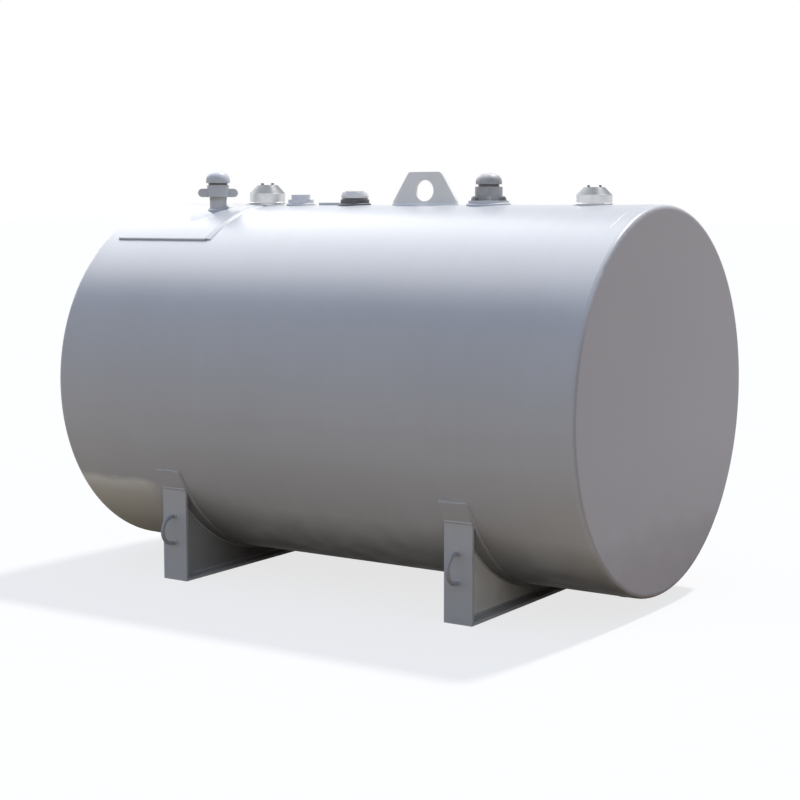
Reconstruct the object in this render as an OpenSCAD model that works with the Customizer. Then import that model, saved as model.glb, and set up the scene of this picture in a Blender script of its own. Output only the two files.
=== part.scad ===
// Double-wall horizontal fuel tank on two welded saddles.
// Millimetres: X runs along the tank, -Y is its front, +Z is up.
// The origin is on the ground, under the middle of the tank.

/* [Outer tank] */
// Outside diameter of the outer shell
shell_d = 1245; // [1000:5:1600]
// Overall length over both heads
tank_l = 2032; // [1800:4:3000]
// Plate thickness of the outer shell
shell_wall = 4; // [3:0.5:8]
// Plate thickness of the outer heads
head_wall = 5; // [3:0.5:8]
// Outside radius of the bend round each head
knuckle_r = 16; // [10:1:80]
// Straight flange of each head, from its bend to the weld
head_flange = 44; // [15:1:60]
// Clear height from the ground to the lowest line of the shell
ground_gap = 45; // [35:1:120]

/* [Inner tank] */
// Space between the inner and the outer shell
interstice = 12; // [6:1:30]
// Space between the inner and the outer heads
end_gap = 20; // [8:1:60]
// Plate thickness of the inner tank
inner_wall = 4; // [3:0.5:8]
// Width of each hoop that carries the inner tank
hoop_w = 50; // [30:1:100]
// Distance of the end hoops from the weld of the inner heads
hoop_inset = 60; // [20:1:200]

/* [Saddles] */
// Distance of each saddle from the middle of the tank
saddle_x = 573; // [400:1:750]
// Width of a saddle along the tank
saddle_w = 102; // [70:1:200]
// Distance of each end plate of a saddle in from the side of the shell
saddle_inset = 97.5; // [50:0.5:220]
// Plate thickness of the saddles
saddle_plate = 10; // [6:1:20]
// Thickness of the curved strap between saddle and shell
strap_t = 6; // [4:0.5:12]
// Length of strap that runs up the shell beyond each end plate
strap_overhang = 72; // [20:1:150]

/* [Tie loops] */
// Diameter of the bar that the loops are bent from
loop_bar_d = 13; // [8:0.5:20]
// Radius of the bend, to the middle of the bar
loop_bend_r = 46; // [30:1:60]
// Straight leg between the bend and the saddle
loop_leg = 16; // [5:1:40]

/* [Lifting lug] */
// Length of the lug where it meets the shell
lug_base = 256; // [200:1:320]
// Length of its top edge
lug_top = 128; // [100:1:190]
// Height of the lug
lug_h = 112; // [100:1:180]
// Thickness of the lug
lug_t = 10; // [8:1:25]
// Upright edge at each foot of the lug
lug_edge = 12; // [4:1:30]
// Radius of its top corners
lug_corner_r = 16; // [5:1:25]
// Diameter of the lifting eye
lug_eye_d = 72; // [40:1:78]
// Height of the eye above the shell
lug_eye_h = 49; // [42:1:58]

/* [Wear pad] */
// Length of the curved pad under the fill
pad_l = 400; // [250:5:500]
// Width of the pad, measured round the shell
pad_arc = 786; // [500:2:1000]
// Thickness of the pad
pad_t = 6; // [3:0.5:12]
// Distance of the pad from the weld of the left head
pad_inset = 8; // [2:1:60]

/* [Pipes through the shells] */
// Outside diameter of the fill pipe and the breather pipe
pipe_d = 60; // [48:0.5:73]
// Outside diameter of the wide pipes under the vents and the gauge
wide_pipe_d = 89; // [73:0.5:102]
// Outside diameter of the coupling under the small plug
coupling_d = 92; // [66:0.5:110]
// Wall of these pipes
pipe_wall = 6; // [4:0.5:9]
// Length of the pipes inside the inner tank
pipe_inside = 15; // [8:1:60]

/* [Fill] */
// Distance of the fill from the tank's top line, towards the front
fill_offset = 150; // [0:1:200]
// Height of the fill pipe above the pad
fill_pipe_h = 57; // [40:1:120]
// Diameter of the body screwed on the fill pipe
fill_body_d = 78; // [75:1:100]
// Height of the body
fill_body_h = 42; // [32:1:60]
// Span over the two ears of the body
fill_ear_span = 142; // [110:1:180]
// Thickness of an ear
fill_ear_t = 20; // [10:1:30]
// Height of an ear, from the foot of the body
fill_ear_h = 30; // [10:1:32]
// Turn of the ears about the pipe
fill_ear_turn = 33; // [0:1:90]
// Diameter of the domed fill cap
fill_cap_d = 86; // [70:1:110]
// Height of the dome
fill_cap_h = 43; // [35:1:60]

/* [Breather] */
// Diameter of the flange that is fitted to the shell
breather_flange_d = 136; // [110:1:160]
// Height of the flange above the shell
breather_flange_h = 14; // [8:1:24]
// Diameter of the breather's body
breather_body_d = 92; // [80:1:105]
// Height of the body
breather_body_h = 46; // [30:1:80]
// Diameter of the domed breather cap
breather_cap_d = 88; // [70:1:100]
// Height of the dome
breather_cap_h = 36; // [30:1:60]
// Open slot under each domed cap
cap_slot = 8; // [4:0.5:14]

/* [Emergency vents] */
// Diameter of the left vent's cap
left_vent_d = 128; // [118:1:160]
// Height of the left vent above the shell
left_vent_h = 80; // [60:1:110]
// Diameter of the right vent's cap
right_vent_d = 116; // [114:1:150]
// Height of the right vent above the shell
right_vent_h = 62; // [50:1:100]
// Gap under the skirt of each vent cap
vent_clear = 1; // [1:0.5:10]
// Height of the seat ring that is screwed on the pipe
vent_ring_h = 18; // [12:1:26]
// Thickness of the seat ring over the end of the pipe
vent_ring_lip = 5; // [3:0.5:8]
// Skirt thickness of the vent caps
vent_cap_wall = 4; // [2:0.5:7]

/* [Plug and gauge] */
// Height of the plug's coupling above the shell
coupling_stand = 20; // [10:1:40]
// Size of the plug's hexagon, over its corners
plug_hex_d = 74; // [40:1:90]
// Height of the hexagon
plug_hex_h = 17; // [8:1:30]
// Height of the gauge pipe above the shell
gauge_stand = 24; // [12:1:40]
// Diameter of the gauge cap
gauge_cap_d = 93; // [82:1:130]
// Height of the gauge cap
gauge_cap_h = 20; // [16:1:50]
// Side of the square boss on the gauge cap
gauge_boss_w = 48; // [25:1:60]
// Height of the boss
gauge_boss_h = 5; // [4:1:20]

/* [Hidden] */
$fn = 240;

// Fit-up gap that is left between curved pieces before they are welded or screwed
fit_up = 0.3;
// How far a cut runs on past the face that it opens
overrun = 5;
// Depth of a screwed end inside its pipe
thread_depth = 16;

// Places along the top, as shares of half the tank's length from its middle
fill_share = -0.661;
left_vent_share = -0.555;
small_plug_share = -0.406;
gauge_share = -0.174;
lug_share = 0.114;
breather_share = 0.361;
right_vent_share = 0.746;

shell_r = shell_d / 2;
half_l = tank_l / 2;
axis_z = ground_gap + shell_r;
top_z = axis_z + shell_r;
head_depth = knuckle_r + head_flange;
seam_x = half_l - head_depth;

inner_r = shell_r - shell_wall - interstice;
inner_half_l = half_l - head_wall - end_gap;
inner_seam_x = inner_half_l - head_depth;
hoop_x = inner_seam_x - hoop_inset - hoop_w / 2;

// The saddles and end plates are cut to the outside of the strap
strap_r = shell_r + fit_up;
seat_r = strap_r + strap_t + fit_up;
saddle_span = shell_d - 2 * saddle_inset;
horn_angle = asin(saddle_span / 2 / seat_r);
end_plate_top_z = axis_z - seat_r * cos(horn_angle);
strap_angle = horn_angle + strap_overhang / seat_r * 180 / PI;

// Height of the middle of a loop, as a share of the height of the end plate that carries it
loop_share = 0.555;
loop_z = loop_share * end_plate_top_z;

pad_r = shell_r + fit_up;
pad_angle = pad_arc / 2 / pad_r * 180 / PI;
pad_x = -seam_x + pad_inset + pad_l / 2;

fill_x = fill_share * half_l;
fill_base_z = axis_z + sqrt(pow(pad_r + pad_t, 2) - pow(fill_offset, 2));
fill_top_z = fill_base_z + fill_pipe_h;
left_vent_x = left_vent_share * half_l;
small_plug_x = small_plug_share * half_l;
gauge_x = gauge_share * half_l;
lug_x = lug_share * half_l;
breather_x = breather_share * half_l;
right_vent_x = right_vent_share * half_l;

breather_pipe_h = breather_flange_h + breather_body_h / 2;

// Height above the shell of the foot of each vent's cap: the left one clears the wear pad
left_vent_foot_h = pad_t + fit_up + vent_clear;
right_vent_foot_h = vent_clear;
// The end of a vent's pipe, above that foot
vent_pipe_rise = vent_ring_h - vent_ring_lip;

// Each pipe through the shells: its place, its diameter and the height of its top
fill_pipe = [fill_x, -fill_offset, pipe_d, fill_top_z];
left_vent_pipe = [left_vent_x, 0, wide_pipe_d, top_z + left_vent_foot_h + vent_pipe_rise];
plug_coupling = [small_plug_x, 0, coupling_d, top_z + coupling_stand];
gauge_pipe_place = [gauge_x, 0, wide_pipe_d, top_z + gauge_stand];
breather_pipe_place = [breather_x, 0, pipe_d, top_z + breather_pipe_h];
right_vent_pipe = [right_vent_x, 0, wide_pipe_d, top_z + right_vent_foot_h + vent_pipe_rise];
pipes = [fill_pipe, left_vent_pipe, plug_coupling, gauge_pipe_place, breather_pipe_place, right_vent_pipe];

// Skirt of a vent cap, as a share of its height up to the crown
vent_skirt_share = 0.54;
// Crown, prongs and seat ring of a vent, as shares of the cap's diameter
vent_crown_share = 0.57;
vent_prong_share = 0.055;
vent_prong_gap_share = 0.36;
vent_ring_share = 0.9;

// Bend of a domed cap, as a share of its height or radius, and its neck, as a share of its diameter
dome_bend_share = 0.85;
cap_neck_share = 0.74;

// Top of the gauge cap, as a share of its diameter
gauge_top_share = 0.94;

paint = [0.70, 0.71, 0.73];
head_paint = [0.55, 0.54, 0.55];
saddle_paint = [0.48, 0.50, 0.53];
fitting_paint = [0.60, 0.61, 0.63];
vent_metal = [0.78, 0.79, 0.79];
bare_steel = [0.42, 0.40, 0.39];

// Turns what stands on Z so that it lies along X, with its angle 0 at the bottom
module along_x() {
    rotate([0, 90, 0]) children();
}

// Lays a flat outline, drawn with Y to the right and Z up, across the tank
module across_tank(t) {
    rotate([90, 0, 90]) linear_extrude(t, center = true) children();
}

// Half section of a round body with a bend at its outer top edge
module bent_half_section(r, h, bend) {
    square([r - bend, h]);
    square([r, h - bend]);
    intersection() {
        translate([r - bend, h - bend]) circle(r = bend);
        square([r, h]);
    }
}

// Straight rolled shell, open at both ends
module rolled_shell(r, wall, l) {
    translate([0, 0, axis_z]) along_x() difference() {
        cylinder(r = r, h = l, center = true);
        cylinder(r = r - wall, h = l + 2 * overrun, center = true);
    }
}

// Flat head with a bend and a straight flange, at the right end
module flanged_head(r, wall, seam) {
    translate([seam, 0, axis_z]) along_x() rotate_extrude() difference() {
        bent_half_section(r, head_depth, knuckle_r);
        translate([0, -overrun]) bent_half_section(r - wall, head_depth - wall + overrun, knuckle_r - wall);
    }
}

// Curved plate that follows the shell for an angle to each side of its middle
module rolled_plate(r, t, w, angle, middle) {
    along_x() rotate([0, 0, middle - angle]) rotate_extrude(angle = 2 * angle)
        translate([r, -w / 2]) square([t, w]);
}

// Holes for all the pipes, through whatever they pass
module pipe_holes() {
    for (p = pipes) {
        translate([p[0], p[1], axis_z]) cylinder(d = p[2] + 2 * fit_up, h = shell_r + pad_t + overrun);
    }
}

// Pipe from the inside of the inner tank to its top height
module through_pipe(p) {
    foot_z = axis_z + sqrt(pow(inner_r - inner_wall, 2) - pow(p[1], 2)) - pipe_inside;
    translate([p[0], p[1], foot_z]) difference() {
        cylinder(d = p[2], h = p[3] - foot_z);
        translate([0, 0, -overrun]) cylinder(d = p[2] - 2 * pipe_wall, h = p[3] - foot_z + 2 * overrun);
    }
}

// Domed cap on a slotted neck, screwed into the pipe below it
module domed_cap(d, h) {
    bend = min(h, d / 2) * dome_bend_share;
    translate([0, 0, cap_slot]) rotate_extrude() bent_half_section(d / 2, h, bend);
    cylinder(d = d * cap_neck_share, h = cap_slot);
}

// Collar screwed over a pipe, with its foot down the pipe and a shoulder on the pipe's end
module screwed_collar(d, h, pipe, foot) {
    difference() {
        translate([0, 0, -foot]) cylinder(d = d, h = h + foot);
        translate([0, 0, -foot - overrun]) cylinder(d = pipe + 2 * fit_up, h = foot + overrun);
        cylinder(d = pipe - 2 * pipe_wall, h = h + overrun);
    }
}

// Screwed end of a plug, inside its pipe
module plug_thread(pipe) {
    translate([0, 0, -thread_depth]) cylinder(d = pipe - 2 * pipe_wall - 2 * fit_up, h = thread_depth);
}

module outer_shell() {
    color(paint) difference() {
        rolled_shell(shell_r, shell_wall, 2 * seam_x);
        pipe_holes();
    }
}

module right_head() {
    color(head_paint) flanged_head(shell_r, head_wall, seam_x);
}

module left_head() {
    mirror([1, 0, 0]) right_head();
}

module inner_shell() {
    color(bare_steel) difference() {
        rolled_shell(inner_r, inner_wall, 2 * inner_seam_x);
        pipe_holes();
    }
}

module inner_right_head() {
    color(bare_steel) flanged_head(inner_r, inner_wall, inner_seam_x);
}

module inner_left_head() {
    mirror([1, 0, 0]) inner_right_head();
}

module spacer_hoops() {
    color(bare_steel) difference() {
        for (x = [-hoop_x, 0, hoop_x]) {
            translate([x, 0, 0]) rolled_shell(inner_r + interstice - fit_up, interstice - 2 * fit_up, hoop_w);
        }
        pipe_holes();
    }
}

module saddle_base() {
    color(saddle_paint) translate([0, 0, saddle_plate / 2])
        cube([saddle_w, saddle_span, saddle_plate], center = true);
}

module saddle_web() {
    web_span = saddle_span - 2 * saddle_plate;
    color(saddle_paint) across_tank(saddle_plate) difference() {
        translate([-web_span / 2, saddle_plate]) square([web_span, axis_z - saddle_plate]);
        translate([0, axis_z]) circle(r = seat_r);
    }
}

module saddle_front_plate() {
    color(saddle_paint) difference() {
        translate([-saddle_w / 2, -saddle_span / 2, saddle_plate])
            cube([saddle_w, saddle_plate, axis_z - saddle_plate]);
        translate([0, 0, axis_z]) along_x() cylinder(r = seat_r, h = saddle_w + 2 * overrun, center = true);
    }
}

module saddle_rear_plate() {
    mirror([0, 1, 0]) saddle_front_plate();
}

module saddle_strap() {
    color(paint) translate([0, 0, axis_z]) rolled_plate(strap_r, strap_t, saddle_w, strap_angle, 0);
}

// Bent bar loop that stands out from the middle of a front plate
module front_tie_loop() {
    color(saddle_paint) translate([0, -saddle_span / 2 - loop_leg, loop_z]) {
        along_x() rotate([0, 0, 180]) rotate_extrude(angle = 180)
            translate([loop_bend_r, 0]) circle(d = loop_bar_d);
        for (z = [-loop_bend_r, loop_bend_r]) {
            translate([0, 0, z]) rotate([-90, 0, 0]) cylinder(d = loop_bar_d, h = loop_leg);
        }
    }
}

module rear_tie_loop() {
    mirror([0, 1, 0]) front_tie_loop();
}

// The two saddles are alike, one to each side of the middle
module left_place() {
    translate([-saddle_x, 0, 0]) children();
}

module right_place() {
    translate([saddle_x, 0, 0]) children();
}

module wear_pad() {
    color(paint) difference() {
        translate([pad_x, 0, axis_z]) rolled_plate(pad_r, pad_t, pad_l, pad_angle, 180);
        pipe_holes();
    }
}

module lug_outline() {
    slope = atan2(lug_h - lug_edge, (lug_base - lug_top) / 2);
    setback = lug_corner_r * tan(slope / 2);
    foot_x = lug_base / 2;
    bend_x = lug_top / 2 - setback;
    side = [lug_top / 2 + setback * cos(slope), lug_h - setback * sin(slope)];
    polygon([
        [-foot_x, 0], [foot_x, 0], [foot_x, lug_edge], side, [bend_x, lug_h],
        [-bend_x, lug_h], [-side[0], side[1]], [-foot_x, lug_edge]
    ]);
    for (x = [-bend_x, bend_x]) {
        translate([x, lug_h - lug_corner_r]) circle(r = lug_corner_r);
    }
}

module lifting_lug() {
    color(paint) translate([lug_x, 0, top_z]) rotate([90, 0, 0]) difference() {
        linear_extrude(lug_t, center = true) lug_outline();
        translate([0, lug_eye_h, 0]) cylinder(d = lug_eye_d, h = lug_t + 2 * overrun, center = true);
    }
}

module fill_nipple() {
    color(fitting_paint) through_pipe(fill_pipe);
}

module fill_body() {
    ear_x = (fill_ear_span - fill_ear_h) / 2;
    color(fitting_paint) translate([fill_x, -fill_offset, fill_top_z]) {
        screwed_collar(fill_body_d, fill_body_h - thread_depth, pipe_d, thread_depth);
        rotate([0, 0, fill_ear_turn]) translate([0, 0, -thread_depth]) {
            difference() {
                union() {
                    translate([-ear_x, -fill_ear_t / 2, 0]) cube([2 * ear_x, fill_ear_t, fill_ear_h]);
                    for (x = [-ear_x, ear_x]) {
                        translate([x, 0, fill_ear_h / 2]) rotate([90, 0, 0])
                            cylinder(d = fill_ear_h, h = fill_ear_t, center = true);
                    }
                }
                translate([0, 0, -overrun])
                    cylinder(d = (fill_body_d + pipe_d) / 2, h = fill_ear_h + 2 * overrun);
            }
        }
    }
}

module fill_cap() {
    color(fitting_paint) translate([fill_x, -fill_offset, fill_top_z + fill_body_h - thread_depth])
        domed_cap(fill_cap_d, fill_cap_h);
}

module vent_ring(x, d, foot_h) {
    ring_d = d * vent_ring_share - 2 * vent_cap_wall;
    color(vent_metal) translate([x, 0, top_z + foot_h + vent_pipe_rise])
        screwed_collar(ring_d, vent_ring_lip, wide_pipe_d, vent_pipe_rise);
}

// Loose cap that rests on the seat ring, with a skirt, a sloping shoulder and two prongs
module vent_cap(x, d, h, foot_h) {
    prong = d * vent_prong_share;
    crown_h = h - prong;
    seat_h = foot_h + vent_ring_h;
    shoulder_h = foot_h + (crown_h - foot_h) * vent_skirt_share;
    crown_r = d * vent_crown_share / 2;
    skirt_r = d / 2 - vent_cap_wall;
    color(vent_metal) translate([x, 0, top_z]) {
        rotate_extrude() polygon([
            [0, seat_h], [skirt_r, seat_h], [skirt_r, foot_h], [d / 2, foot_h],
            [d / 2, shoulder_h], [crown_r, crown_h], [0, crown_h]
        ]);
        for (side = [-1, 1]) {
            translate([side * d * vent_prong_gap_share / 2, 0, crown_h + prong / 2])
                cube(prong, center = true);
        }
    }
}

module left_vent_neck() {
    color(fitting_paint) through_pipe(left_vent_pipe);
}

module left_vent_ring() {
    vent_ring(left_vent_x, left_vent_d, left_vent_foot_h);
}

module left_vent_cap() {
    vent_cap(left_vent_x, left_vent_d, left_vent_h, left_vent_foot_h);
}

module right_vent_neck() {
    color(fitting_paint) through_pipe(right_vent_pipe);
}

module right_vent_ring() {
    vent_ring(right_vent_x, right_vent_d, right_vent_foot_h);
}

module right_vent_cap() {
    vent_cap(right_vent_x, right_vent_d, right_vent_h, right_vent_foot_h);
}

module plug_neck() {
    color(fitting_paint) through_pipe(plug_coupling);
}

module small_plug() {
    color(fitting_paint) translate([small_plug_x, 0, top_z + coupling_stand]) {
        cylinder(d = plug_hex_d, h = plug_hex_h, $fn = 6);
        plug_thread(coupling_d);
    }
}

module gauge_neck() {
    color(bare_steel) through_pipe(gauge_pipe_place);
}

module gauge_cap() {
    color(fitting_paint) translate([gauge_x, 0, top_z + gauge_stand]) {
        plug_thread(wide_pipe_d);
        cylinder(d = gauge_cap_d, h = gauge_cap_h / 2);
        translate([0, 0, gauge_cap_h / 2])
            cylinder(d1 = gauge_cap_d, d2 = gauge_cap_d * gauge_top_share, h = gauge_cap_h / 2);
        translate([-gauge_boss_w / 2, -gauge_boss_w / 2, gauge_cap_h])
            cube([gauge_boss_w, gauge_boss_w, gauge_boss_h]);
    }
}

// Flange with its underside cut to the curve of the shell
module breather_flange() {
    color(fitting_paint) difference() {
        translate([breather_x, 0, axis_z]) cylinder(d = breather_flange_d, h = shell_r + breather_flange_h);
        translate([0, 0, axis_z]) along_x() cylinder(r = shell_r + fit_up, h = tank_l, center = true);
        translate([breather_x, 0, axis_z])
            cylinder(d = pipe_d + 2 * fit_up, h = shell_r + breather_flange_h + overrun);
    }
}

module breather_pipe() {
    color(fitting_paint) through_pipe(breather_pipe_place);
}

module breather_body() {
    color(bare_steel) translate([breather_x, 0, top_z + breather_pipe_h])
        screwed_collar(breather_body_d, breather_body_h / 2, pipe_d, breather_body_h / 2);
}

module breather_cap() {
    color(bare_steel) translate([breather_x, 0, top_z + breather_flange_h + breather_body_h])
        domed_cap(breather_cap_d, breather_cap_h);
}

outer_shell();
left_head();
right_head();
inner_shell();
inner_left_head();
inner_right_head();
spacer_hoops();
left_place() saddle_base();  // left_saddle_base
left_place() saddle_web();  // left_saddle_web
left_place() saddle_front_plate();  // left_saddle_front_plate
left_place() saddle_rear_plate();  // left_saddle_rear_plate
left_place() saddle_strap();  // left_saddle_strap
right_place() saddle_base();  // right_saddle_base
right_place() saddle_web();  // right_saddle_web
right_place() saddle_front_plate();  // right_saddle_front_plate
right_place() saddle_rear_plate();  // right_saddle_rear_plate
right_place() saddle_strap();  // right_saddle_strap
left_place() front_tie_loop();  // left_front_tie_loop
left_place() rear_tie_loop();  // left_rear_tie_loop
right_place() front_tie_loop();  // right_front_tie_loop
right_place() rear_tie_loop();  // right_rear_tie_loop
wear_pad();
lifting_lug();
fill_nipple();
fill_body();
fill_cap();
left_vent_neck();
left_vent_ring();
left_vent_cap();
plug_neck();
small_plug();
gauge_neck();
gauge_cap();
breather_flange();
breather_pipe();
breather_body();
breather_cap();
right_vent_neck();
right_vent_ring();
right_vent_cap();
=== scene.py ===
# %% [markdown]
# # A double-wall fuel tank
# This lesson dresses a steel fuel tank: a rolled shell with two flat heads, on two welded
# saddles, with its fill, vents, gauge and breather along the top. The solids come in as a
# fixed frame in metres, so every step below adds a finish or a fitting where they already are.

# %% Load the frame
import math

import bpy
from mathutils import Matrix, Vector


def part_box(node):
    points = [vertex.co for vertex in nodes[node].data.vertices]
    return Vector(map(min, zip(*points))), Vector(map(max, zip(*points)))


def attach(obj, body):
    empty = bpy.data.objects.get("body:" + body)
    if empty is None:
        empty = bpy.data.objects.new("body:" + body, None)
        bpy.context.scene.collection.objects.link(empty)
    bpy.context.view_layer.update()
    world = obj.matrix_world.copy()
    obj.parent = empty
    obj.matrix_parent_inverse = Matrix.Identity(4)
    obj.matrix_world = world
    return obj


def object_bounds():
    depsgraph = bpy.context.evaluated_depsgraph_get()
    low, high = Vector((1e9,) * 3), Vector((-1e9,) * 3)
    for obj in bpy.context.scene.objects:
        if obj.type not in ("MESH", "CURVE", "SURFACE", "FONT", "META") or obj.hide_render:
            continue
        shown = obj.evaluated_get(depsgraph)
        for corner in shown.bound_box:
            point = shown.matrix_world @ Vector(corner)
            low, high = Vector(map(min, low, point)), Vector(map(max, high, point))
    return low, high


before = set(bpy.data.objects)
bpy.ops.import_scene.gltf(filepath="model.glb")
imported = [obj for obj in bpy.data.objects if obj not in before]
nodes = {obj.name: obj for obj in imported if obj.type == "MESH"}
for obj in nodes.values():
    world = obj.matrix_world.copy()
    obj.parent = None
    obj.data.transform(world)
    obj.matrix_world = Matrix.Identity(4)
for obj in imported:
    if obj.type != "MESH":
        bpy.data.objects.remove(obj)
cad_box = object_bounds()
print("frame:", len(nodes), "nodes, box", [round(x, 3) for x in cad_box[1] - cad_box[0]])

# %% [markdown]
# ## The sizes that everything hangs on
# A tank is drawn round its axis. The shell's box gives that axis, the radius and the two weld
# seams, and each fitting's own box gives the place where its details go. The sizes are read from
# the solids and not written down a second time, so every detail stays where its solid is.

# %% Measure the tank
def middle(node):
    """The middle of a solid's box."""
    low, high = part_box(node)
    return (low + high) / 2


def width_of(node):
    """How wide a solid is along the tank."""
    low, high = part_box(node)
    return high.x - low.x


def foot_of(node):
    """The height of a solid's lowest point."""
    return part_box(node)[0].z


def top_of(node):
    """The height of a solid's highest point."""
    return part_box(node)[1].z


shell_low, shell_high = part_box("outer_shell")
shell_r = (shell_high.y - shell_low.y) / 2
axis_z = (shell_high.z + shell_low.z) / 2
top_z = axis_z + shell_r
seam_x = shell_high.x
print("shell radius", round(shell_r, 4), "axis height", round(axis_z, 4), "seams at", round(seam_x, 4))

# %% [markdown]
# ## Camera
# The tank was taken from a little above its axis and well round to the right, with a long lens,
# so that the far end is only slightly smaller than the near one. A camera that looks along one
# direction can be turned with a track quaternion instead of three angles.

# %% Camera
view_azimuth = math.radians(33.42)
view_elevation = math.radians(6.48)
camera_place = Vector((3.205, -4.838, 1.272))
film_mm = 36
lens_mm = 75.15

camera_data = bpy.data.cameras.new("camera")
camera_data.sensor_width = film_mm
camera_data.lens = lens_mm
camera = bpy.data.objects.new("camera", camera_data)
bpy.context.scene.collection.objects.link(camera)
towards_camera = Vector((
    math.sin(view_azimuth) * math.cos(view_elevation),
    -math.cos(view_azimuth) * math.cos(view_elevation),
    math.sin(view_elevation),
))
camera.location = camera_place
camera.rotation_mode = "QUATERNION"
camera.rotation_quaternion = (-towards_camera).to_track_quat("-Z", "Y")
bpy.context.scene.camera = camera
bpy.context.scene.view_settings.view_transform = "Standard"
print("camera at", [round(x, 3) for x in camera.location])

# %% [markdown]
# ## Node helpers
# A procedural finish is a small web of nodes. Written out by hand each node takes four or five
# lines, so one helper adds a node and plugs in whatever it is given: a number goes into the
# socket itself, and the output of another node becomes a link. Three more stand for the nodes
# that come up most: a mix of two colours, a ramp from one range to another, and arithmetic. The
# last tells rays that show a thing to the eye from rays that only carry its light elsewhere.

# %% Node helpers
def add_node(tree, kind, inputs=None, **settings):
    made = tree.nodes.new(kind)
    for key, value in settings.items():
        setattr(made, key, value)
    for key, value in (inputs or {}).items():
        if isinstance(value, bpy.types.NodeSocket):
            tree.links.new(value, made.inputs[key])
        else:
            made.inputs[key].default_value = value
    return made


def mixed(tree, share, one, other, blend="MIX"):
    made = add_node(tree, "ShaderNodeMix", {
        "Factor": share, "A": one, "B": other}, data_type="RGBA", blend_type=blend)
    return made.outputs["Result"]


def ramp(tree, value, low, high, to_low, to_high):
    made = add_node(tree, "ShaderNodeMapRange", {
        "Value": value, "From Min": low, "From Max": high, "To Min": to_low, "To Max": to_high})
    return made.outputs[0]


def maths(tree, operation, one, other=0):
    return add_node(tree, "ShaderNodeMath", {0: one, 1: other}, operation=operation).outputs[0]


def shown_to_eye(tree):
    """1 for rays that show a thing to the eye: straight, mirrored or through glass."""
    path = add_node(tree, "ShaderNodeLightPath").outputs
    mirrored = maths(tree, "MAXIMUM", path["Is Camera Ray"], path["Is Glossy Ray"])
    return maths(tree, "MAXIMUM", mirrored, path["Is Transmission Ray"])


# %% [markdown]
# ## Studio: sky
# The tank stands under a soft sun that comes from behind it, so the top is bright and the front
# lies in the light of an open sky. That sky is blue overhead and pale at the horizon, and it
# gives the upper front its cool shade and the lower front its warm one. Behind the tank the sky
# is dimmer, because the sun already lights that side. The eye, and anything that the gloss
# mirrors, sees plain white instead.

# %% Sky
sky_colour = (0.185, 0.45, 0.95, 1)
horizon_colour = (0.82, 0.73, 0.62, 1)
plain_white = (1, 1, 1, 1)
open_y, closed_y = -0.25, 0.55
back_share = 0.45

world = bpy.data.worlds.new("studio_sky")
world.use_nodes = True
bpy.context.scene.world = world
tree = world.node_tree
tree.nodes.clear()
looking = add_node(tree, "ShaderNodeTexCoord").outputs["Generated"]
way = add_node(tree, "ShaderNodeSeparateXYZ", {0: looking}).outputs
sky_light = add_node(tree, "ShaderNodeBackground", {
    "Color": mixed(tree, way["Z"], horizon_colour, sky_colour),
    "Strength": ramp(tree, way["Y"], open_y, closed_y, 1, back_share)})
white_sky = add_node(tree, "ShaderNodeBackground", {"Color": plain_white, "Strength": 1})
both = add_node(tree, "ShaderNodeMixShader", {
    0: shown_to_eye(tree), 1: sky_light.outputs[0], 2: white_sky.outputs[0]})
add_node(tree, "ShaderNodeOutputWorld", {"Surface": both.outputs[0]})
print("sky overhead", sky_colour[:3], "horizon", horizon_colour[:3])

# %% [markdown]
# ## Studio: key light
# A sun lamp's rays all run the same way, so it lights the near and the far end of a long tank
# alike, which a lamp close by would not. It leans in from behind and a little from the right, and
# its width of a few degrees softens the edge of every shadow.

# %% Key light
key_behind = math.radians(29)
key_right = math.radians(6)
key_strength = 3.6
key_width = math.radians(5)
key_colour = (1, 0.975, 0.94)

key_data = bpy.data.lights.new("key_light", "SUN")
key_data.energy = key_strength
key_data.angle = key_width
key_data.color = key_colour
key = bpy.data.objects.new("key_light", key_data)
towards_key = Vector((math.tan(key_right), math.tan(key_behind), 1)).normalized()
key.rotation_mode = "QUATERNION"
key.rotation_quaternion = towards_key.to_track_quat("Z", "Y")
bpy.context.scene.collection.objects.link(key)
print("key light from", [round(x, 2) for x in towards_key])

# %% [markdown]
# ## Studio: gloss panel
# Enamel shows its gloss only when there is something bright to mirror. A studio hangs a wide
# panel over the tank for that. It is hidden from the eye and lights no surface by itself, so
# the paint keeps its tone, and only its gloss picks the panel up along the shoulder.

# %% Gloss panel
panel_aim = Vector((0, 0, axis_z))
panel_way = Vector((-0.547, 0.15, 0.83)).normalized()
panel_far = 8
panel_l, panel_w = 11.0, 8.0
panel_glow = 3.85

panel_data = bpy.data.lights.new("gloss_panel", "AREA")
panel_data.shape = "RECTANGLE"
panel_data.size = panel_w
panel_data.size_y = panel_l
panel_data.energy = panel_glow * math.pi * panel_w * panel_l
panel = bpy.data.objects.new("gloss_panel", panel_data)
panel.location = panel_aim + panel_way * panel_far
panel.rotation_mode = "QUATERNION"
panel.rotation_quaternion = panel_way.to_track_quat("Z", "Y")
panel.visible_camera = False
panel.visible_diffuse = False
bpy.context.scene.collection.objects.link(panel)
print("gloss panel at", [round(x, 2) for x in panel.location])

# %% [markdown]
# ## Studio: floor
# A floor that is simply painted white would throw a bright glare up into the shade under the
# tank. So the floor has two faces: to the eye it is a white sheet that keeps the tank's shadow,
# and to the light that bounces off it, it is dull, warm ground.

# %% Floor
floor_half = 150
bounce_colour = (0.225, 0.178, 0.120, 1)
white_share = 0.76
shadow_colour = (0.17, 0.17, 0.17, 1)

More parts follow.
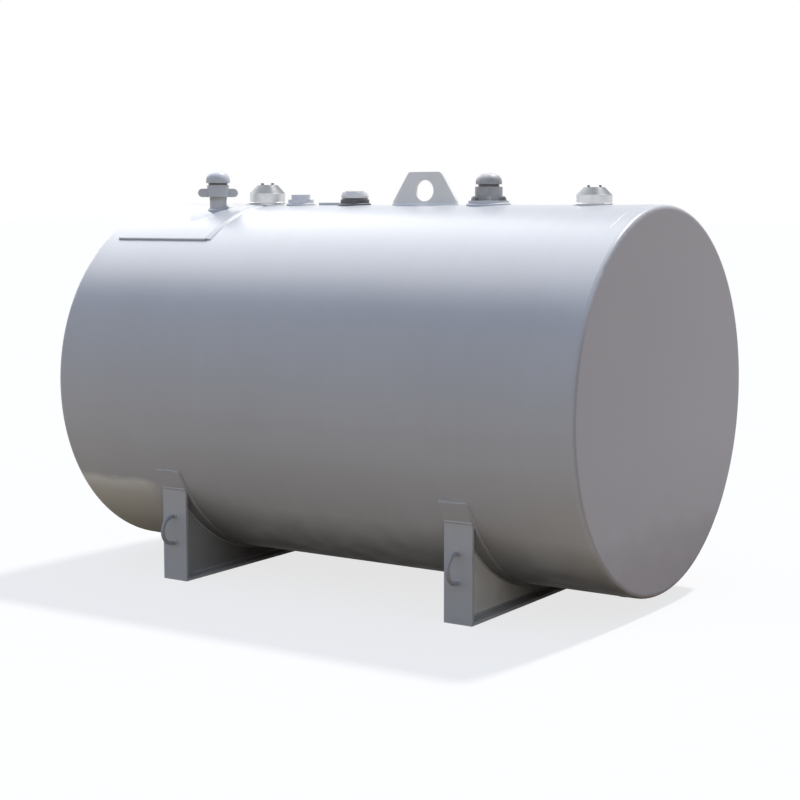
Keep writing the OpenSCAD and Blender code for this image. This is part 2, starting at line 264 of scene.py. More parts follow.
bpy.ops.object.select_all(action="DESELECT")
bpy.ops.mesh.primitive_plane_add(size=2 * floor_half, location=(0, 0, 0))
floor = bpy.context.object
floor.name = "floor"
floor_paint = bpy.data.materials.new("floor_sheet")
floor_paint.use_nodes = True
tree = floor_paint.node_tree
tree.nodes.clear()
glow = add_node(tree, "ShaderNodeEmission", {"Color": plain_white, "Strength": white_share})
lit = add_node(tree, "ShaderNodeBsdfDiffuse", {"Color": shadow_colour})
sheet = add_node(tree, "ShaderNodeAddShader", {0: glow.outputs[0], 1: lit.outputs[0]})
bounce = add_node(tree, "ShaderNodeBsdfDiffuse", {"Color": bounce_colour})
both = add_node(tree, "ShaderNodeMixShader", {
    0: shown_to_eye(tree), 1: bounce.outputs[0], 2: sheet.outputs[0]})
add_node(tree, "ShaderNodeOutputMaterial", {"Surface": both.outputs[0]})
floor.data.materials.append(floor_paint)
print("floor", 2 * floor_half, "m wide")

# %% [markdown]
# ## Helpers for finishes
# Every finish starts from an empty web of nodes and from the place of a point on the tank, in
# metres. Object coordinates give that place, so one pattern runs on from a piece to the next.
# Noise, products, sums and bumps come up in every recipe, so each is one short call.

# %% Helpers for finishes
def opaque(colour):
    return colour + (1,)


def blank_finish(name):
    finish = bpy.data.materials.new(name)
    finish.use_nodes = True
    tree = finish.node_tree
    tree.nodes.clear()
    place = add_node(tree, "ShaderNodeTexCoord").outputs["Object"]
    return finish, tree, place


def noise(tree, place, scale, detail):
    made = add_node(tree, "ShaderNodeTexNoise", {"Vector": place, "Scale": scale, "Detail": detail})
    return made.outputs["Fac"]


def times(tree, one, other):
    return maths(tree, "MULTIPLY", one, other)


def plus(tree, one, other):
    return maths(tree, "ADD", one, other)


def bump(tree, height, strength, depth, under=None):
    """Tilts the surface by a height, on top of an earlier bump where there is one."""
    inputs = {"Height": height, "Strength": strength, "Distance": depth}
    if under is not None:
        inputs["Normal"] = under
    return add_node(tree, "ShaderNodeBump", inputs).outputs[0]


def close_finish(tree, inputs):
    skin = add_node(tree, "ShaderNodeBsdfPrincipled", inputs)
    add_node(tree, "ShaderNodeOutputMaterial", {"Surface": skin.outputs[0]})


# %% [markdown]
# ## Enamel: streaks and dust
# The tank has one sprayed coat of pale grey enamel. Out of doors, rain leaves thin streaks on it
# that run down round the shell, and road dust clings low down. Each is a noise at its own scale:
# the streaks come from one that is squeezed along the tank, and the dust from a fine one that
# fades with height. A painted image could do the same, but only for a tank of this one size.

# %% Streaks and dust
dust_colour = (0.40, 0.36, 0.32, 1)
streak_squeeze = (24, 1.1, 1.1)
streak_scale, streak_detail = 1, 3
streak_from = 0.35
streak_share = 0.14
dust_top = 0.55
dust_share = 0.30
speck_scale, speck_detail = 11, 8
speck_low, speck_high = 0.36, 0.66
speck_least = 0.35


def weathered(tree, place, along, coat):
    """The coat with streaks and dust on it, and the share of dust."""
    squeezed = add_node(tree, "ShaderNodeMapping", {"Vector": place, "Scale": streak_squeeze})
    streak = noise(tree, squeezed.outputs[0], streak_scale, streak_detail)
    streaked = mixed(tree, ramp(tree, streak, streak_from, 1, 0, streak_share), coat, dust_colour)
    low_down = ramp(tree, along["Z"], 0, dust_top, dust_share, 0)
    speck = noise(tree, place, speck_scale, speck_detail)
    dust = times(tree, low_down, ramp(tree, speck, speck_low, speck_high, speck_least, 1))
    return mixed(tree, dust, streaked, dust_colour), dust


# %% [markdown]
# ## Enamel: painted shade and painted reflection
# Painted shade darkens the colour under the belly and on the inner saddle plates, where the tank
# shades them, so it is mixed in by a ramp along one axis. At its lower left end the shell carries a
# painted reflection of sunlit ground, pale, with a lighter painted highlight along its upper edge.
# Three ramps bound it, and a noise makes its edges wander.

# %% Painted shade and painted reflection
# painted shade: the dark colour that the shade ramps mix in, and how much rougher the coat gets under
# it
painted_shade_colour = (0.035, 0.032, 0.030, 1)
painted_shade_roughens = 0.50
# painted reflection: sunlit ground mirrored pale on the lower left end of the shell, with a lighter
# painted highlight along its upper edge
ground_reflection_colour = (0.74, 0.71, 0.625, 1)
reflection_edge_colour = (0.88, 0.865, 0.81, 1)
ground_reflection_scale, ground_reflection_detail = 7, 4
noise_middle = 0.5
ground_reflection_wander = 0.05
ground_reflection_end = (-0.72, -0.65)
ground_reflection_front = (-0.22, -0.12)
ground_reflection_top = (0.323, 0.347)
reflection_edge_rise = (0.28, 0.315)
ground_reflection_cover = 0.92
ground_reflection_dulls = 0.25


def painted_shade_share(tree, along, shade_ramp):
    axis, unshaded_at, dark_at, most = shade_ramp
    return ramp(tree, maths(tree, "ABSOLUTE", along[axis]), unshaded_at, dark_at, 0, most)


def with_ground_reflection(tree, place, along, tone):
    """The tone with a painted reflection of sunlit ground on it, and the share of that reflection."""
    edge = plus(tree, noise(tree, place, ground_reflection_scale, ground_reflection_detail), -noise_middle)
    wander = times(tree, edge, ground_reflection_wander)
    level = plus(tree, along["Z"], wander)
    at_end = ramp(tree, plus(tree, along["X"], wander), *ground_reflection_end, 1, 0)
    at_front = ramp(tree, along["Y"], *ground_reflection_front, 1, 0)
    below = ramp(tree, level, *ground_reflection_top, 1, 0)
    share = times(tree, times(tree, at_end, at_front), below)
    reflected_tone = mixed(tree, ramp(tree, level, *reflection_edge_rise, 0, 1), ground_reflection_colour, reflection_edge_colour)
    return mixed(tree, times(tree, share, ground_reflection_cover), tone, reflected_tone), share


# %% [markdown]
# ## Enamel: the whole coat
# Up close a sprayed coat has clouds in its tone and a faint orange peel, and the plate under it
# is never quite flat. A broad noise makes the clouds, and two bumps, one broad and one fine, make
# the surface. Dust dulls the coat, so it adds to the roughness, and the roughness also rises under
# the painted shade and the painted reflection. The flat face of a head can have a tone of its own.

# %% Enamel
cloud_scale, cloud_detail = 1.7, 3
cloud_depth = 0.07
smoother, rougher = 0.03, 0.05
wave_scale, wave_detail = 2.6, 1
wave_strength, wave_depth = 0.20, 0.006
peel_scale, peel_detail = 230, 2
peel_strength, peel_depth = 0.07, 0.0006
enamel_gloss = 0.35


def enamel(name, colour, roughness, shade_ramp=None, ground_reflection=False, face=None):
    finish, tree, place = blank_finish(name)
    along = add_node(tree, "ShaderNodeSeparateXYZ", {0: place}).outputs
    cloud = noise(tree, place, cloud_scale, cloud_detail)
    uneven = ramp(tree, cloud, 0, 1, 1 - cloud_depth, 1 + cloud_depth)
    coat = mixed(tree, 1, opaque(colour), uneven, "MULTIPLY")
    tone, dust = weathered(tree, place, along, coat)
    worn = plus(tree, ramp(tree, cloud, 0, 1, roughness - smoother, roughness + rougher), dust)
    if shade_ramp:
        # painted shade along one axis, where the tank shades itself, with the coat rougher there
        deep = painted_shade_share(tree, along, shade_ramp)
        tone = mixed(tree, deep, tone, painted_shade_colour)
        worn = plus(tree, worn, times(tree, deep, painted_shade_roughens))
    if ground_reflection:
        # painted reflection of sunlit ground on the lower left end
        tone, share = with_ground_reflection(tree, place, along, tone)
        worn = plus(tree, worn, times(tree, share, ground_reflection_dulls))
    if face:
        face_colour, bend_x, face_x = face
        at_face = ramp(tree, maths(tree, "ABSOLUTE", along["X"]), bend_x, face_x, 0, 1)
        face_coat = mixed(tree, 1, opaque(face_colour), uneven, "MULTIPLY")
        tone = mixed(tree, at_face, tone, face_coat)
    waves = bump(tree, noise(tree, place, wave_scale, wave_detail), wave_strength, wave_depth)
    peel = bump(tree, noise(tree, place, peel_scale, peel_detail), peel_strength, peel_depth, waves)
    close_finish(tree, {
        "Base Color": tone, "Roughness": worn, "Specular IOR Level": enamel_gloss, "Normal": peel})
    return finish


# %% [markdown]
# ## Cast metal
# The vents are sand-cast aluminium and the breather is mid-grey cast iron. The gauge's neck and
# coupling are a very dark iron, which is painted shade under its cap. A casting has a grainy skin
# from the mould and a tone that wanders a little, with some grime in patches. A fine noise makes
# the grain and a coarse one the patches, and both change the roughness, so that what looks dirty is
# also dull. A vent cap has a painted crown above its shoulder, which fades in over a few millimetres
# of height.

# %% Cast metal
sand_detail = 3
patch_scale, patch_detail = 30, 5
patch_clean, patch_dirty = 0.40, 0.70
dirt_tone = 0.62
noise_low, noise_high = 0.3, 0.7
patch_smoother, patch_rougher = 0.06, 0.10
sand_dulls = 0.03
sand_strength, sand_depth = 0.25, 0.0006
crown_fade = 0.0015


def cast_metal(name, colour, roughness, metallic, grain=420, dirt=0.7, crown=None):
    finish, tree, place = blank_finish(name)
    sand = noise(tree, place, grain, sand_detail)
    patch = noise(tree, place, patch_scale, patch_detail)
    dirty = opaque(tuple(dirt_tone * c for c in colour))
    tone = mixed(tree, ramp(tree, patch, patch_clean, patch_dirty, 0, dirt), opaque(colour), dirty)
    if crown:
        crown_colour, crown_z = crown
        level = add_node(tree, "ShaderNodeSeparateXYZ", {0: place}).outputs["Z"]
        fade = (crown_z - crown_fade, crown_z + crown_fade)
        tone = mixed(tree, ramp(tree, level, *fade, 0, 1), tone, opaque(crown_colour))
        metallic = ramp(tree, level, *fade, metallic, 0)
    patchy = ramp(
        tree, patch, noise_low, noise_high, roughness - patch_smoother, roughness + patch_rougher)
    sandy = ramp(tree, sand, noise_low, noise_high, sand_dulls, -sand_dulls)
    close_finish(tree, {
        "Base Color": tone, "Metallic": metallic, "Roughness": plus(tree, patchy, sandy),
        "Normal": bump(tree, sand, sand_strength, sand_depth)})
    return finish


# %% [markdown]
# ## A finish for every solid
# Each solid arrives with a material slot that is named for its paint or metal. The finishes go by
# the same names, so one loop dresses the whole tank and can't miss a solid. Painted shade is given
# as an axis, the place where it starts, the place where it is darkest, and how dark it gets.

# %% Give every solid its finish
tank_grey = (0.49, 0.488, 0.486)
head_grey = (0.374, 0.352, 0.364)
saddle_grey = (0.505, 0.505, 0.49)
vent_grey = (0.72, 0.725, 0.73)
vent_skin = {"roughness": 0.42, "metallic": 0.8, "dirt": 0.35}
face_edge = 0.0005
bend_run = 0.0055
head_face_x = cad_box[1].x - face_edge
head_face = (head_grey, head_face_x - bend_run, head_face_x)
# painted shade: darker towards the belly, where the tank shades its own underside
belly_painted_shade = ("Z", 0.29, 0.11, 0.78)
# painted shade: the saddle plates darken towards the middle, under the tank
inner_painted_shade = ("Y", 0.40, 0.06, 0.70)

finishes = {
    "shell_paint": enamel("shell_enamel", tank_grey, 0.315, belly_painted_shade, ground_reflection=True),
    "head_paint": enamel("head_enamel", tank_grey, 0.34, belly_painted_shade, ground_reflection=True, face=head_face),
    "saddle_paint": enamel("saddle_enamel", saddle_grey, 0.40, inner_painted_shade),
    # painted light: the lug is a paler copy of the tank grey it shares, standing for sunlight on the
    # top
    "lug_paint": enamel("lug_painted_light", (0.80, 0.785, 0.74), 0.46),
    "fitting_paint": enamel("fitting_enamel", (0.57, 0.575, 0.575), 0.44),
    "vent_metal": cast_metal("vent_casting", vent_grey, **vent_skin),
    "cap_iron": cast_metal("cap_casting", (0.35, 0.35, 0.352), 0.48, 0.2, 300),
    "inner_steel": cast_metal("inner_plate", (0.28, 0.27, 0.265), 0.5, 0.6, 150),
}
for node in nodes.values():
    slot = node.material_slots[0]
    slot.material = finishes[slot.name]
print("finishes:", ", ".join(finishes))

# %% [markdown]
# ## Finishes of single solids
# Some solids differ from the rest of their kind. The gauge cap and the plug are painted paler than
# the other fittings, which is painted light, and the tie-down loops are darker than the saddles.
# Each saddle's web has its own share of painted shade, and the right web is painted paler as
# painted light from the open ground beside it. The vent caps get their crowns here, each at the
# height of its shoulder.

# %% Finishes of single solids
# painted shade on each saddle's web, darker towards the middle under the tank, the left one most
left_web_shade_ramp = ("Y", 0.54, 0.12, 0.82)
right_web_shade_ramp = ("Y", 0.32, 0.04, 0.80)
crown_grey = (0.17, 0.18, 0.182)
vent_shoulders = {"left": 0.0427, "right": 0.0305}
# painted light: the gauge cap and the plug are paler copies of the tank grey, standing for sunlight on
# the top
painted_light_enamel = enamel("painted_light_enamel", (0.78, 0.765, 0.73), 0.46)
plug_painted_light = enamel("plug_painted_light", (0.70, 0.70, 0.71), 0.44)
loop_enamel = enamel("loop_enamel", (0.36, 0.355, 0.36), 0.42)
# painted shade: a very dark iron for the gauge's neck, coupling and weld, which stands for the shade
# under the cap
gauge_shade_iron = cast_metal("gauge_shade_iron", (0.10, 0.10, 0.105), 0.5, 0.2, 300)

own_finishes = {
    "left_saddle_web": enamel("left_web_painted_shade", saddle_grey, 0.44, left_web_shade_ramp),
    # painted light: the right web is a paler copy of the saddle grey, standing for light from the open
    # ground beside it
    "right_saddle_web": enamel("right_web_painted_light", (0.78, 0.765, 0.71), 0.44, right_web_shade_ramp),
    "gauge_cap": painted_light_enamel,
    "gauge_neck": gauge_shade_iron,
    "small_plug": plug_painted_light,
    "plug_neck": plug_painted_light,
}
for side, shoulder in vent_shoulders.items():
    own_finishes[side + "_vent_cap"] = cast_metal(
        side + "_vent_casting", vent_grey, **vent_skin, crown=(crown_grey, top_z + shoulder))
for name in nodes:
    if name.endswith("_tie_loop"):
        own_finishes[name] = loop_enamel
for name, finish in own_finishes.items():
    nodes[name].material_slots[0].material = finish
print("own finishes:", ", ".join(own_finishes))

# %% [markdown]
# ## Weld beads
# Everything on this tank is welded, and a bead is what the eye looks for where two plates meet.
# A bead could be swept along a curve. Here it is drawn as a welder lays it: one round section is
# placed at the start, spun round an arc or pulled along a line in short steps, and then roughened
# with a fine noise, because no bead is perfectly even.

# %% Bead helpers
bead_sides = 8
bead_step = 0.003
least_line_steps, least_arc_steps = 2, 12
merge_gap = 1e-6
ripple_depth = 0.0012
bead_ripple = bpy.data.textures.new("bead_ripple", "CLOUDS")
bead_ripple.noise_scale = 0.005
along_tank, across_tank, upright = (1, 0, 0), (0, 1, 0), (0, 0, 1)
full_turn = 2 * math.pi


def start_bead(bead_r, place, heading, whole=False):
    """Lays the round section of a bead across its heading, ready in edit mode."""
    bpy.ops.object.select_all(action="DESELECT")
    bpy.ops.mesh.primitive_circle_add(
        vertices=bead_sides, radius=bead_r, fill_type="NOTHING" if whole else "NGON",
        location=place, rotation=Vector(heading).to_track_quat("Z", "Y").to_euler())
    bpy.ops.object.transform_apply(location=True, rotation=True, scale=True)
    bpy.ops.object.mode_set(mode="EDIT")
    bpy.ops.mesh.select_all(action="SELECT")
    return bpy.context.object


def close_bead(bead):
    """Merges the ends, turns the faces outwards and roughens the bead."""
    bpy.ops.mesh.select_all(action="SELECT")
    bpy.ops.mesh.remove_doubles(threshold=merge_gap)
    bpy.ops.mesh.normals_make_consistent(inside=False)
    bpy.ops.object.mode_set(mode="OBJECT")
    ripple = bead.modifiers.new("ripple", "DISPLACE")
    ripple.texture = bead_ripple
    ripple.texture_coords = "LOCAL"
    ripple.strength = ripple_depth
    bpy.ops.object.modifier_apply(modifier=ripple.name)
    bpy.ops.object.shade_smooth()
    return bead


def straight_bead(bead_r, start, end):
    run = Vector(end) - Vector(start)
    steps = max(least_line_steps, round(run.length / bead_step))
    bead = start_bead(bead_r, start, run)
    bpy.ops.mesh.extrude_repeat(steps=steps, offset=run / steps)
    return close_bead(bead)


def round_bead(bead_r, start, centre, axis, turn=full_turn):
    arm = Vector(start) - Vector(centre)
    heading = Vector(axis).cross(arm)
    bead = start_bead(bead_r, start, heading, turn >= full_turn)
    steps = max(least_arc_steps, round(arm.length * turn / bead_step))
    bpy.ops.mesh.spin(steps=steps, angle=-turn, center=centre, axis=axis)
    return close_bead(bead)


# %% [markdown]
# ## Shaping and joining
# Two more jobs come back all through the lesson. One scales a piece about a point in edit mode,
# so that its object stays unscaled at the origin. The other joins what belongs together, gives it
# its finish and lets it ride on the tank.

# %% Shaping and joining
def stretch(shares, centre):
    """Scales the piece that was just made about a point, within its mesh."""
    bpy.ops.object.mode_set(mode="EDIT")
    bpy.ops.mesh.select_all(action="SELECT")
    bpy.ops.transform.resize(value=shares, center_override=centre)
    bpy.ops.object.mode_set(mode="OBJECT")


def join_as(name, pieces, slot, finish=None):
    """Joins what belongs together into one named piece that rides on the tank."""
    bpy.ops.object.select_all(action="DESELECT")
    for piece in pieces:
        piece.select_set(True)
    bpy.context.view_layer.objects.active = pieces[0]
    if len(pieces) > 1:
        bpy.ops.object.join()
    made = pieces[0]
    made.name = name
    made.data.name = name
    made.data.materials.clear()
    made.data.materials.append(finish or finishes[slot])
    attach(made, "root")
    print(name, len(made.data.polygons), "faces")
    return made


# %% [markdown]
# ## Head seams
# Each head is welded to the shell all the way round. The bead is ground low, so its section is
# sunk until only a shallow crown stands out. At the two sides it would be the widest thing on the
# tank, so the ring is squeezed a hair until its sides are level with the plate.

# %% Head seams
seam_bead_r = 0.0045
seam_crown = 0.0013
seam_z = top_z + seam_crown - seam_bead_r
seam_squeeze = (shell_r - seam_crown) / (shell_r + seam_crown)

for side, x in (("left", -seam_x), ("right", seam_x)):
    seam_middle = Vector((x, 0, axis_z))
    seam = round_bead(seam_bead_r, (x, 0, seam_z), seam_middle, along_tank)
    stretch((1, seam_squeeze, 1), seam_middle)
    join_as(side + "_head_seam", [seam], "shell_paint")

# %% [markdown]
# ## Wear pad weld
# The curved pad under the fill is welded along all four edges: two arcs across the tank and two
# straight runs along it. The pad's half angle follows from its width and its outer radius. The
# arc towards the middle of the tank is dressed down until it hardly shows, so it is laid deep and
# then stretched along the tank into a long, flat slope.

# %% Wear pad weld
pad_low, pad_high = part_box("wear_pad")
pad_r = pad_high.z - axis_z
pad_half_turn = math.asin(pad_high.y / pad_r)
pad_bead_r, pad_bead_out = 0.0048, 0.0014
blend_bead_r, blend_bead_sunk = 0.010, 0.0042
blend_bead_wide = 2.6
pad_bead_line = shell_r + pad_bead_out
blend_bead_line = shell_r - blend_bead_sunk


def round_shell(x, r, turn):
    """The point at a radius and a turn from the top of the tank, the front being negative."""
    return Vector((x, r * math.sin(turn), axis_z + r * math.cos(turn)))


pad_arcs = (
    (pad_low.x, pad_bead_r, pad_bead_line),
    (pad_high.x, blend_bead_r, blend_bead_line),
)
pad_beads = []
for x, bead_r, line in pad_arcs:
    start = round_shell(x, line, pad_half_turn)
    pad_beads.append(round_bead(bead_r, start, (x, 0, axis_z), along_tank, 2 * pad_half_turn))
stretch((blend_bead_wide, 1, 1), (pad_high.x, 0, axis_z))
for turn in (-pad_half_turn, pad_half_turn):
    start = round_shell(pad_low.x, pad_bead_line, turn)
    end = round_shell(pad_high.x, pad_bead_line, turn)
    pad_beads.append(straight_bead(pad_bead_r, start, end))
join_as("wear_pad_weld", pad_beads, "shell_paint")

# %% [markdown]
# ## Saddle welds
# A saddle is five plates: base, web, two end plates and the strap that follows the shell. The
# strap is welded to the shell along its edges and its two ends, and the other plates to each
# other along every inside corner. Both saddles are alike, so the same two functions weld either.

# %% Saddle welds
fillet_r = 0.0042
fillet_out = 0.0005


def strap_welds(side):
    low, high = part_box(side + "_saddle_strap")
    half_turn = math.asin(high.y / (axis_z - low.z))
    line = -shell_r - fillet_out
    beads = []
    for x in (low.x, high.x):
        start = round_shell(x, line, half_turn)
        beads.append(round_bead(fillet_r, start, (x, 0, axis_z), along_tank, 2 * half_turn))
    for way in (-1, 1):
        turn = way * (half_turn + fillet_out / shell_r)
        beads.append(straight_bead(
            fillet_r, round_shell(low.x, line, turn), round_shell(high.x, line, turn)))
    join_as(side + "_strap_weld", beads, "shell_paint")


def plate_welds(side):
    base_low, base_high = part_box(side + "_saddle_base")
    web_low, web_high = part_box(side + "_saddle_web")
    plate_low, plate_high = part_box(side + "_saddle_front_plate")
    strap_low, strap_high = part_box(side + "_saddle_strap")
    strap_r = axis_z - strap_low.z
    half_turn = math.asin(-plate_high.y / strap_r)
    edge_z = plate_high.z
    foot_z = base_high.z + fillet_out
    beads = []
    for way in (-1, 1):
        outer_y = way * (-plate_low.y + fillet_out)
        beads.append(straight_bead(
            fillet_r, (strap_low.x, outer_y, edge_z), (strap_high.x, outer_y, edge_z)))
        inner_y = way * (-plate_high.y - fillet_out)
        beads.append(straight_bead(
            fillet_r, (base_low.x, inner_y, foot_z), (base_high.x, inner_y, foot_z)))
        x = (web_low.x + web_high.x) / 2 + way * ((web_high.x - web_low.x) / 2 + fillet_out)
        beads.append(straight_bead(fillet_r, (x, web_low.y, foot_z), (x, web_high.y, foot_z)))
        start = round_shell(x, -strap_r - fillet_out, half_turn)
        beads.append(round_bead(fillet_r, start, (x, 0, axis_z), along_tank, 2 * half_turn))
        for corner_y in (plate_high.y + fillet_out, -plate_high.y - fillet_out):
            beads.append(straight_bead(
                fillet_r, (x, corner_y, base_high.z), (x, corner_y, web_high.z)))
    join_as(side + "_saddle_welds", beads, "saddle_paint")


for side in ("left", "right"):
    strap_welds(side)
    plate_welds(side)

# %% [markdown]
# ## Tie loop welds
# A tie-down loop is a bent bar, and each of its two feet has a small bead all round where it
# meets the plate. The bar's radius and the height of its feet come from the loop's own box.

# %% Tie loop welds
loop_bead_r = 0.0032

loop_beads = []
for side in ("left", "right"):
    for face, way in (("front", -1), ("rear", 1)):
        loop = "%s_%s_tie_loop" % (side, face)
        low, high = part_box(loop)
        bar_r = (high.x - low.x) / 2
        plate_y = low.y if way > 0 else high.y
        for bar_z in (low.z + bar_r, high.z - bar_r):
            foot = Vector((middle(loop).x, plate_y + way * loop_bead_r / 2, bar_z))
            start = foot + Vector((bar_r, 0, 0))
            loop_beads.append(round_bead(loop_bead_r, start, foot, across_tank))
join_as("tie_loop_welds", loop_beads, "saddle_paint")

# %% [markdown]
# ## Lug weld
# The lifting lug carries the whole tank, so it has a heavy fillet down both sides and across
# both ends. Four straight beads from corner to corner are enough, because the lug is a flat
# plate that stands on the highest line of the shell.

# %% Lug weld
lug_bead_r = 0.0055
lug_low, lug_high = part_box("lifting_lug")
left_x, right_x = lug_low.x - fillet_out, lug_high.x + fillet_out
front_y, rear_y = lug_low.y - fillet_out, lug_high.y + fillet_out
lug_corners = [
    (left_x, front_y, top_z), (right_x, front_y, top_z),
    (right_x, rear_y, top_z), (left_x, rear_y, top_z),
]
lug_beads = []
for i, corner in enumerate(lug_corners):
    following = lug_corners[(i + 1) % len(lug_corners)]
    lug_beads.append(straight_bead(lug_bead_r, corner, following))
join_as("lug_weld", lug_beads, "lug_paint")

# %% [markdown]
# ## Pipe welds
# Every pipe is welded where it leaves the shell or the pad. A flat ring would float over the round
# shell at front and back, so each point of the ring is then lowered by as much as the shell falls
# away under it.

# %% Pipe welds
pipe_bead_r = 0.0055
bead_proud = 1 / 3


def foot_bead(node, surface_r, foot_r):
    out = pipe_bead_r * bead_proud
    centre = middle(node)
    centre.z = axis_z + surface_r + out
    ring = round_bead(pipe_bead_r, centre + Vector((foot_r + out, 0, 0)), centre, upright)
    for point in ring.data.vertices:
        point.co.z += math.sqrt(surface_r ** 2 - point.co.y ** 2) - surface_r
    return ring


pipe_feet = (
    ("fill_pipe_weld", "fill_nipple", pad_r),
    ("plug_weld", "plug_neck", shell_r),
    ("breather_weld", "breather_flange", shell_r),
)
for name, node, surface_r in pipe_feet:
    join_as(name, [foot_bead(node, surface_r, width_of(node) / 2)], "fitting_paint")

# %% [markdown]
# ## Helpers for small fittings
# Nuts, rings and bars all start from an upright prism or a block. Its edges are then broken,
# because no real edge is sharp, it is moved to its place within its mesh, and where it repeats it
# is copied round an upright axis by a spin that makes copies.

# %% Helpers for small fittings
chamfer_steps = 2
crease = math.radians(35)


def turned(sides, r, depth, low):
    """Adds an upright prism that stands on a height, centred on the origin."""
    bpy.ops.object.select_all(action="DESELECT")
    bpy.ops.mesh.primitive_cylinder_add(
        vertices=sides, radius=r, depth=depth, location=(0, 0, low + depth / 2))
    bpy.ops.object.transform_apply(location=True, rotation=True, scale=True)
    return bpy.context.object


def block(length, width, height, place):
    """Adds a block with its middle at a place."""
    bpy.ops.object.select_all(action="DESELECT")
    bpy.ops.mesh.primitive_cube_add(size=1)
    bpy.ops.object.mode_set(mode="EDIT")
    bpy.ops.mesh.select_all(action="SELECT")
    bpy.ops.transform.resize(value=(length, width, height))
    bpy.ops.transform.translate(value=place)
    bpy.ops.object.mode_set(mode="OBJECT")
    return bpy.context.object


def chamfer(piece, width):
    edge = piece.modifiers.new("chamfer", "BEVEL")
    edge.width = width
    edge.segments = chamfer_steps
    edge.limit_method = "ANGLE"
    bpy.context.view_layer.objects.active = piece
    bpy.ops.object.modifier_apply(modifier=edge.name)
    return piece


def edit_all(piece):
    """Opens a piece in edit mode with all of it selected."""
    bpy.ops.object.select_all(action="DESELECT")
    piece.select_set(True)
    bpy.context.view_layer.objects.active = piece
    bpy.ops.object.mode_set(mode="EDIT")
    bpy.ops.mesh.select_all(action="SELECT")


def shift(piece, offset):
    edit_all(piece)
    bpy.ops.transform.translate(value=offset)
    bpy.ops.object.mode_set(mode="OBJECT")


def copies_round(piece, centre, count):
    """Copies a piece round an upright axis, as spokes, within its own mesh."""
    edit_all(piece)
    bpy.ops.mesh.spin(
        steps=count, dupli=True, angle=full_turn, use_auto_merge=False, center=centre, axis=upright)
    bpy.ops.mesh.select_all(action="SELECT")
    bpy.ops.mesh.normals_make_consistent(inside=False)
    bpy.ops.object.mode_set(mode="OBJECT")


# %% [markdown]
# ## Breather nuts
# The breather's flange is held down by studs with washers and hexagon nuts. One stack is built of
# three prisms, a washer, a nut and the end of a stud, each with its edges broken. It is moved to
# the stud circle, halfway between body and rim, and copied round the flange.

# %% Breather nuts
nut_count = 6
washer_sides, nut_sides, stud_sides = 24, 6, 16
washer_r, washer_h, washer_edge = 0.0102, 0.002, 0.0005
nut_r, nut_h, nut_edge = 0.0092, 0.0082, 0.0012
stud_r, stud_h = 0.0048, 0.004

flange_place = middle("breather_flange")
flange_place.z = top_of("breather_flange")
stud_circle = (width_of("breather_flange") / 2 + width_of("breather_body") / 2) / 2
stack = [
    chamfer(turned(washer_sides, washer_r, washer_h, 0), washer_edge),
    chamfer(turned(nut_sides, nut_r, nut_h, washer_h), nut_edge),
    chamfer(turned(stud_sides, stud_r, stud_h, washer_h + nut_h), nut_edge),
]
nuts = join_as("breather_nuts", stack, "cap_iron")
shift(nuts, flange_place + Vector((stud_circle, 0, 0)))
copies_round(nuts, flange_place, nut_count)
bpy.ops.object.shade_smooth_by_angle(angle=crease)
print("nuts in all:", len(nuts.data.polygons), "faces")

# %% [markdown]
# ## Slot screens
# Air passes under each domed cap through a slot that a wire screen guards. A row of thin bars
# round the neck gives the slot its depth and keeps it dark. One bar is made and copied round, and
# a hoop ties the bars together at half height.

# %% Slot screens
screen_bars = 56
screen_bar_sides = 6
screen_bar_r = 0.0009
screen_out = 0.0015
neck_share = 0.74
slot_h = 0.008

for fitting in ("fill", "breather"):
    foot = middle(fitting + "_cap")
    foot.z = top_of(fitting + "_body")
    ring_r = width_of(fitting + "_cap") / 2 * neck_share + screen_out
    to_ring = Vector((ring_r, 0, 0))
    bar = turned(screen_bar_sides, screen_bar_r, slot_h, foot.z)
    shift(bar, (foot.x + ring_r, foot.y, 0))
    copies_round(bar, foot, screen_bars)
    hoop_middle = foot + Vector((0, 0, slot_h / 2))
    hoop = round_bead(screen_bar_r, hoop_middle + to_ring, hoop_middle, upright)
    join_as(fitting + "_screen", [bar, hoop], "cap_iron")

# %% [markdown]
# ## Gauge coupling
# The gauge's pipe stands in a short forged coupling, coloured in the neck's very dark iron as
# painted shade under the cap. It is a turned ring with its edges broken, sunk a little into the
# shell, and a bead runs round its foot.

# %% Gauge coupling
coupling_sides = 72
coupling_r = 0.0505
coupling_h = 0.0205
coupling_sunk = 0.003
coupling_edge = 0.0022
gauge_place = middle("gauge_neck")

coupling = turned(coupling_sides, coupling_r, coupling_h + coupling_sunk, top_z - coupling_sunk)
chamfer(coupling, coupling_edge)
shift(coupling, (gauge_place.x, gauge_place.y, 0))
bpy.ops.object.shade_smooth_by_angle(angle=crease)
join_as("gauge_coupling", [coupling], "cap_iron", gauge_shade_iron)
join_as("gauge_weld", [foot_bead("gauge_neck", shell_r, coupling_r)], "cap_iron", gauge_shade_iron)

# %% [markdown]
# ## Gauge bar
# A flat bar is welded to the shell beside the gauge. It is a block whose two ends are rounded in
# plan. Its four upright edges are picked out, because only they run from bottom to top, and are
# bevelled in many steps.

# %% Gauge bar
bar_l, bar_w, bar_h = 0.106, 0.022, 0.006
bar_sunk = 0.0006
bar_edge = 0.0008
bar_round, bar_round_steps = 0.45 * bar_w, 8
bar_x = gauge_place.x - coupling_r - bar_l / 2 + coupling_sunk

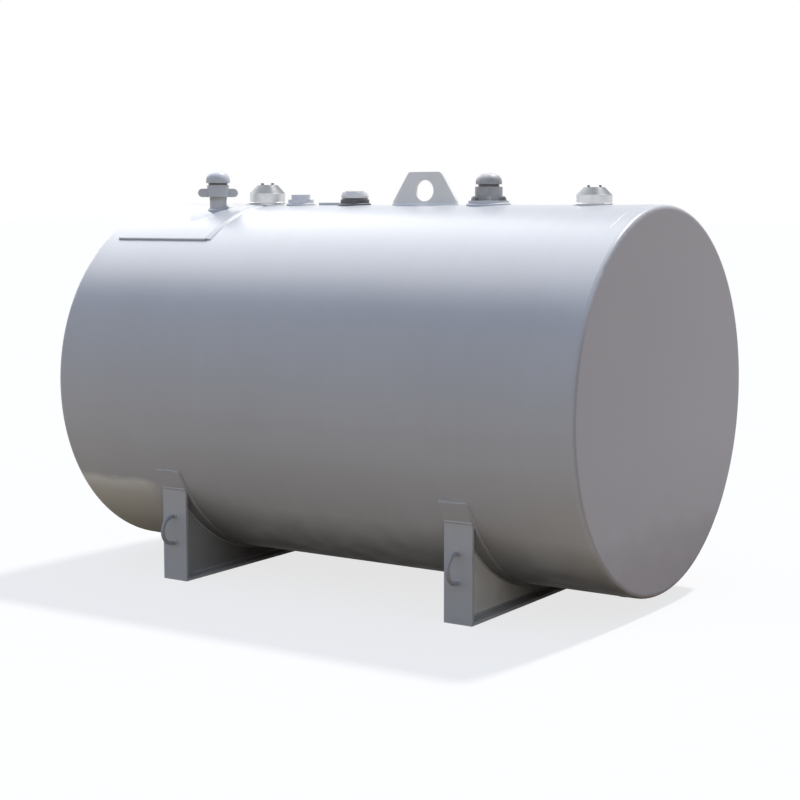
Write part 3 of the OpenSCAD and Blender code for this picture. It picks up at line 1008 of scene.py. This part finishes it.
bar = block(bar_l, bar_w, bar_h, (bar_x, gauge_place.y, top_z + bar_h / 2 - bar_sunk))
for edge in bar.data.edges:
    one, other = (bar.data.vertices[i].co for i in edge.vertices)
    edge.select = abs(one.z - other.z) > bar_h / 2
bpy.ops.object.mode_set(mode="EDIT")
bpy.ops.mesh.select_mode(type="EDGE")
bpy.ops.mesh.bevel(offset=bar_round, segments=bar_round_steps)
bpy.ops.object.mode_set(mode="OBJECT")
chamfer(bar, bar_edge)
bpy.ops.object.shade_smooth_by_angle(angle=crease)
join_as("gauge_bar", [bar], "fitting_paint")

# %% [markdown]
# ## Gauge cap grips
# The gauge cap is screwed down by hand, so its rim has upright grips. One is a small block with
# its edges bevelled, set partly into the rim and copied round it.

# %% Gauge cap grips
grip_count = 20
grip_w, grip_h = 0.005, 0.0098
grip_edge = 0.001
grip_inset = 0.00125
grip_out = width_of("gauge_cap") / 2 - grip_inset
grip_foot = middle("gauge_cap")
grip_foot.z = top_of("gauge_neck")

grip = block(grip_w, grip_w, grip_h, grip_foot + Vector((grip_out, 0, grip_h / 2)))
chamfer(grip, grip_edge)
copies_round(grip, grip_foot, grip_count)
bpy.ops.object.shade_smooth_by_angle(angle=crease)
join_as("gauge_grips", [grip], "fitting_paint", painted_light_enamel)

# %% [markdown]
# ## Pipe thread
# Below the fill's body a few turns of thread show on the pipe. A real thread is one long helix,
# but at this pitch it reads as a row of rings, so a ring is laid for each turn.

# %% Pipe thread
thread_turns = 5
thread_pitch = 0.0023
thread_crest = 0.0011
thread_r = width_of("fill_nipple") / 2
ring_middle = middle("fill_nipple")

thread_rings = []
for i in range(thread_turns):
    ring_middle.z = foot_of("fill_body") - thread_pitch * (i + 0.5)
    start = ring_middle + Vector((thread_r, 0, 0))
    thread_rings.append(round_bead(thread_crest, start, ring_middle, upright))
join_as("fill_thread", thread_rings, "fitting_paint")

# %% [markdown]
# ## Vent seats
# A loose vent cap rests on a flat flange that is bedded on the round shell. It shows as a thin
# light line under the skirt, and closes the gap where the shell falls away. The flange is a
# turned disc with its edges broken, let a little way into the plate.

# %% Vent seats
seat_sides = 96
seat_inset = 0.0016
seat_lap = 0.0012
seat_edge = 0.0006
seat_sunk = 0.004
seat_low = top_z - seat_sunk

for side in ("left", "right"):
    cap = side + "_vent_cap"
    seat_h = foot_of(cap) + seat_lap - seat_low
    seat = turned(seat_sides, width_of(cap) / 2 - seat_inset, seat_h, seat_low)
    chamfer(seat, seat_edge)
    shift(seat, (middle(cap).x, middle(cap).y, 0))
    bpy.ops.object.shade_smooth_by_angle(angle=crease)
    join_as(side + "_vent_seat", [seat], "vent_metal")

# %% [markdown]
# ## Vent rims
# The loose vent caps have a rolled rim at the foot of the skirt, which keeps the edge stiff and
# throws a fine shadow line. A rolled rim is round in section, so the bead helper makes it too.

# %% Vent rims
rim_r = 0.0022

for side in ("left", "right"):
    cap = side + "_vent_cap"
    rim_middle = middle(cap)
    rim_middle.z = foot_of(cap) + rim_r
    start = rim_middle + Vector((width_of(cap) / 2, 0, 0))
    join_as(side + "_vent_rim", [round_bead(rim_r, start, rim_middle, upright)], "vent_metal")
